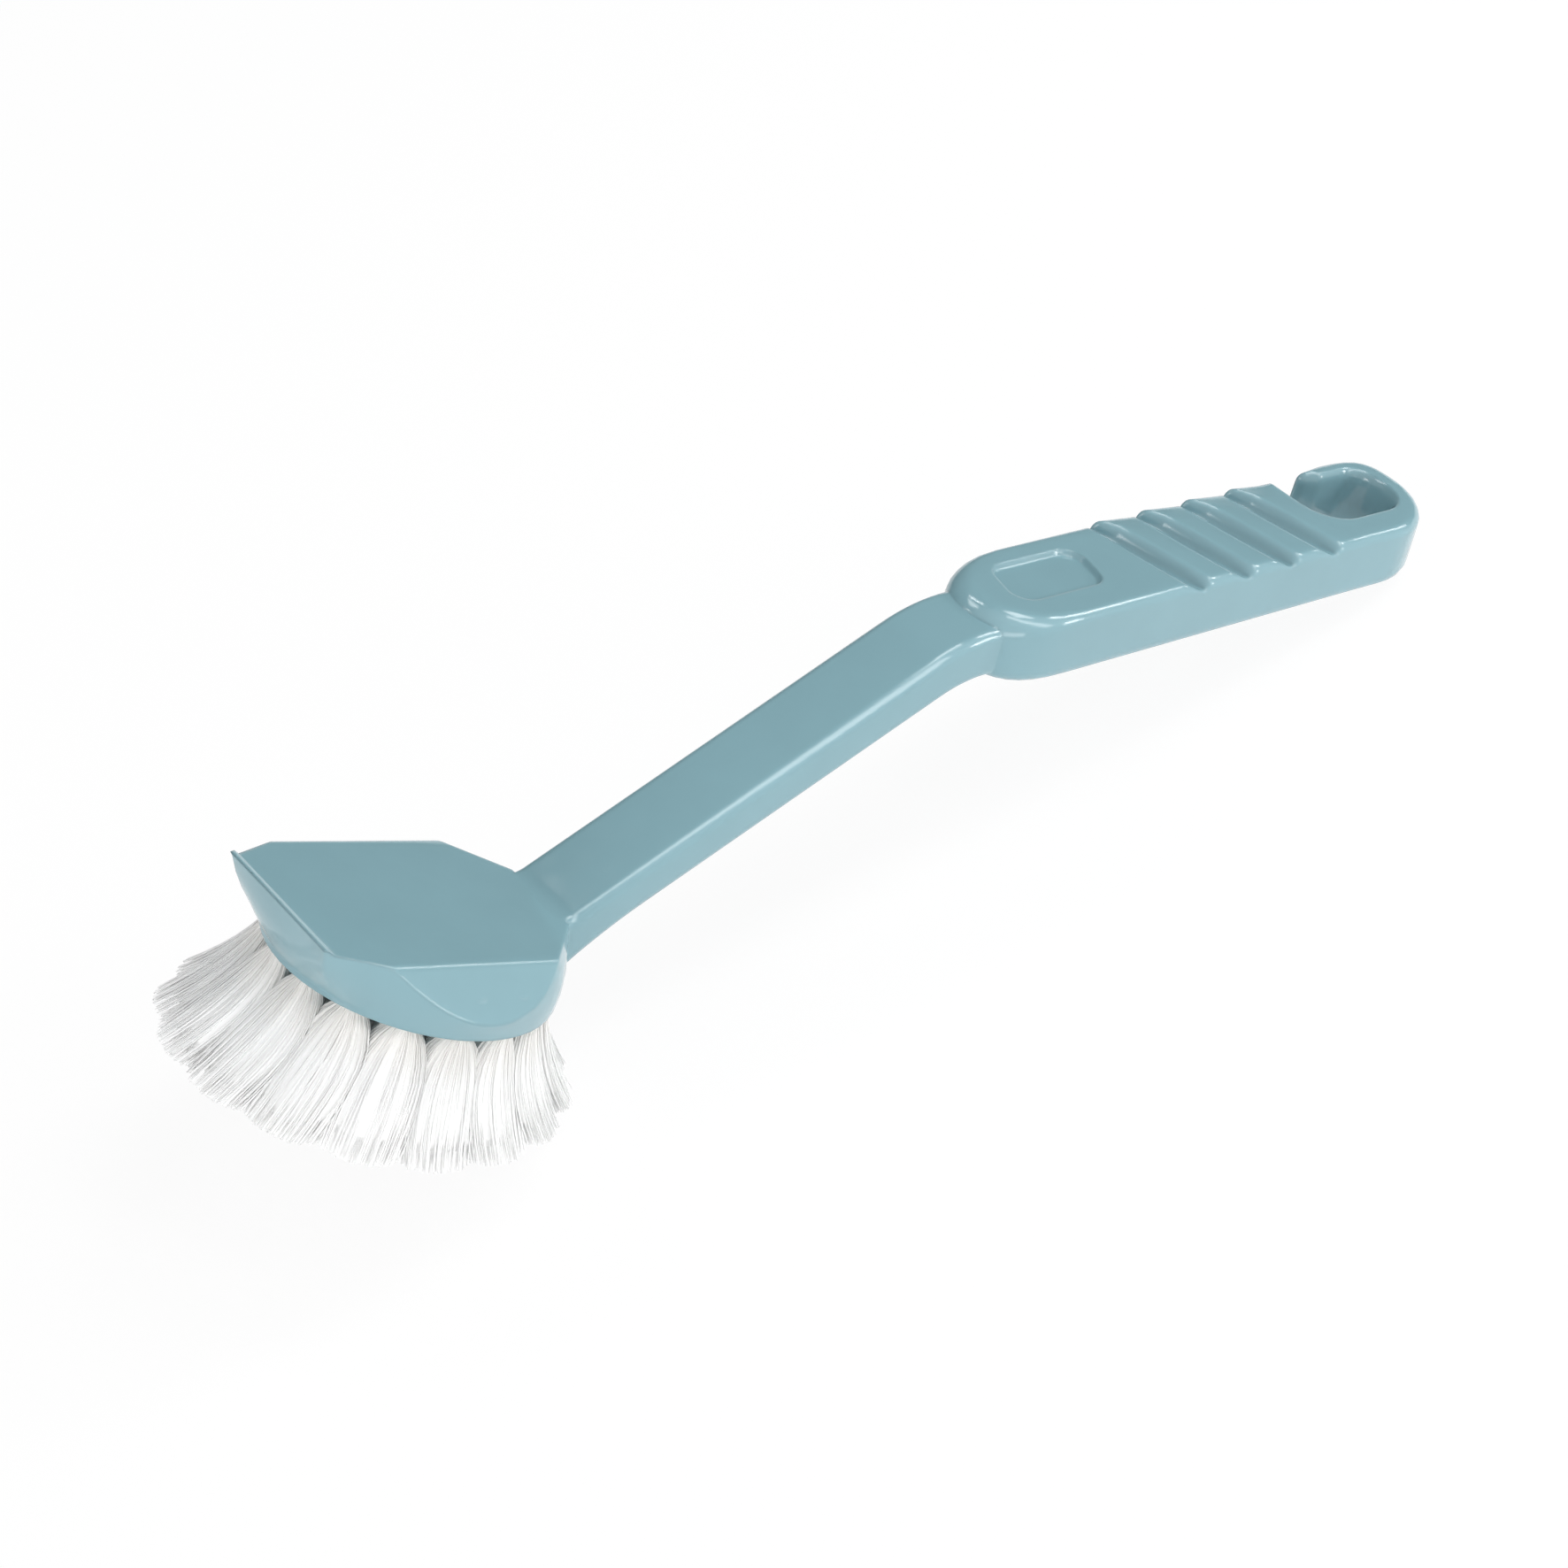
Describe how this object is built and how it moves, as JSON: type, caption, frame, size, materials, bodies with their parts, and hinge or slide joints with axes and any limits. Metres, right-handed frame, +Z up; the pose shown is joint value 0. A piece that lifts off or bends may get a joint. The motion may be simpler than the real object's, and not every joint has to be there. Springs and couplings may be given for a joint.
{
  "type": "wash brush",
  "caption": "Long-handled wash brush: moulded head with a flat scraper edge and splayed nylon bristles, a bent neck, and a ridged grip that ends in an open side hook for hanging.",
  "frame": {"origin": "middle of the bounding box's base, on the surface that the brush stands on with its rear bristle tips and the end of its grip", "axes": "+Z up, +X from the head to the end of the grip, +Y to the side that the hook opens to"},
  "size_m": [0.2968, 0.0682, 0.067],
  "materials": {
    "gloss_plastic": "glossy moulded polypropylene, dusty blue-teal",
    "bristle_nylon": "white translucent nylon filament, cut square at the tips",
    "anchor_steel": "plain cut steel strip"
  },
  "bodies": {
    "root": {"brush_body": "gloss_plastic", "tuft_01": "bristle_nylon", "tuft_02": "bristle_nylon", "tuft_03": "bristle_nylon", "tuft_04": "bristle_nylon", "tuft_05": "bristle_nylon", "tuft_06": "bristle_nylon", "tuft_07": "bristle_nylon", "tuft_08": "bristle_nylon", "tuft_09": "bristle_nylon", "tuft_10": "bristle_nylon", "tuft_11": "bristle_nylon", "tuft_12": "bristle_nylon", "tuft_13": "bristle_nylon", "tuft_14": "bristle_nylon", "tuft_15": "bristle_nylon", "tuft_16": "bristle_nylon", "tuft_17": "bristle_nylon", "tuft_18": "bristle_nylon", "tuft_19": "bristle_nylon", "tuft_20": "bristle_nylon", "tuft_21": "bristle_nylon", "tuft_22": "bristle_nylon", "tuft_23": "bristle_nylon", "tuft_24": "bristle_nylon", "tuft_25": "bristle_nylon", "tuft_26": "bristle_nylon", "tuft_27": "bristle_nylon", "tuft_28": "bristle_nylon", "tuft_29": "bristle_nylon", "anchor_01": "anchor_steel", "anchor_02": "anchor_steel", "anchor_03": "anchor_steel", "anchor_04": "anchor_steel", "anchor_05": "anchor_steel", "anchor_06": "anchor_steel", "anchor_07": "anchor_steel", "anchor_08": "anchor_steel", "anchor_09": "anchor_steel", "anchor_10": "anchor_steel", "anchor_11": "anchor_steel", "anchor_12": "anchor_steel", "anchor_13": "anchor_steel", "anchor_14": "anchor_steel", "anchor_15": "anchor_steel", "anchor_16": "anchor_steel", "anchor_17": "anchor_steel", "anchor_18": "anchor_steel", "anchor_19": "anchor_steel", "anchor_20": "anchor_steel", "anchor_21": "anchor_steel", "anchor_22": "anchor_steel", "anchor_23": "anchor_steel", "anchor_24": "anchor_steel", "anchor_25": "anchor_steel", "anchor_26": "anchor_steel", "anchor_27": "anchor_steel", "anchor_28": "anchor_steel", "anchor_29": "anchor_steel"}
  },
  "joints": []
}
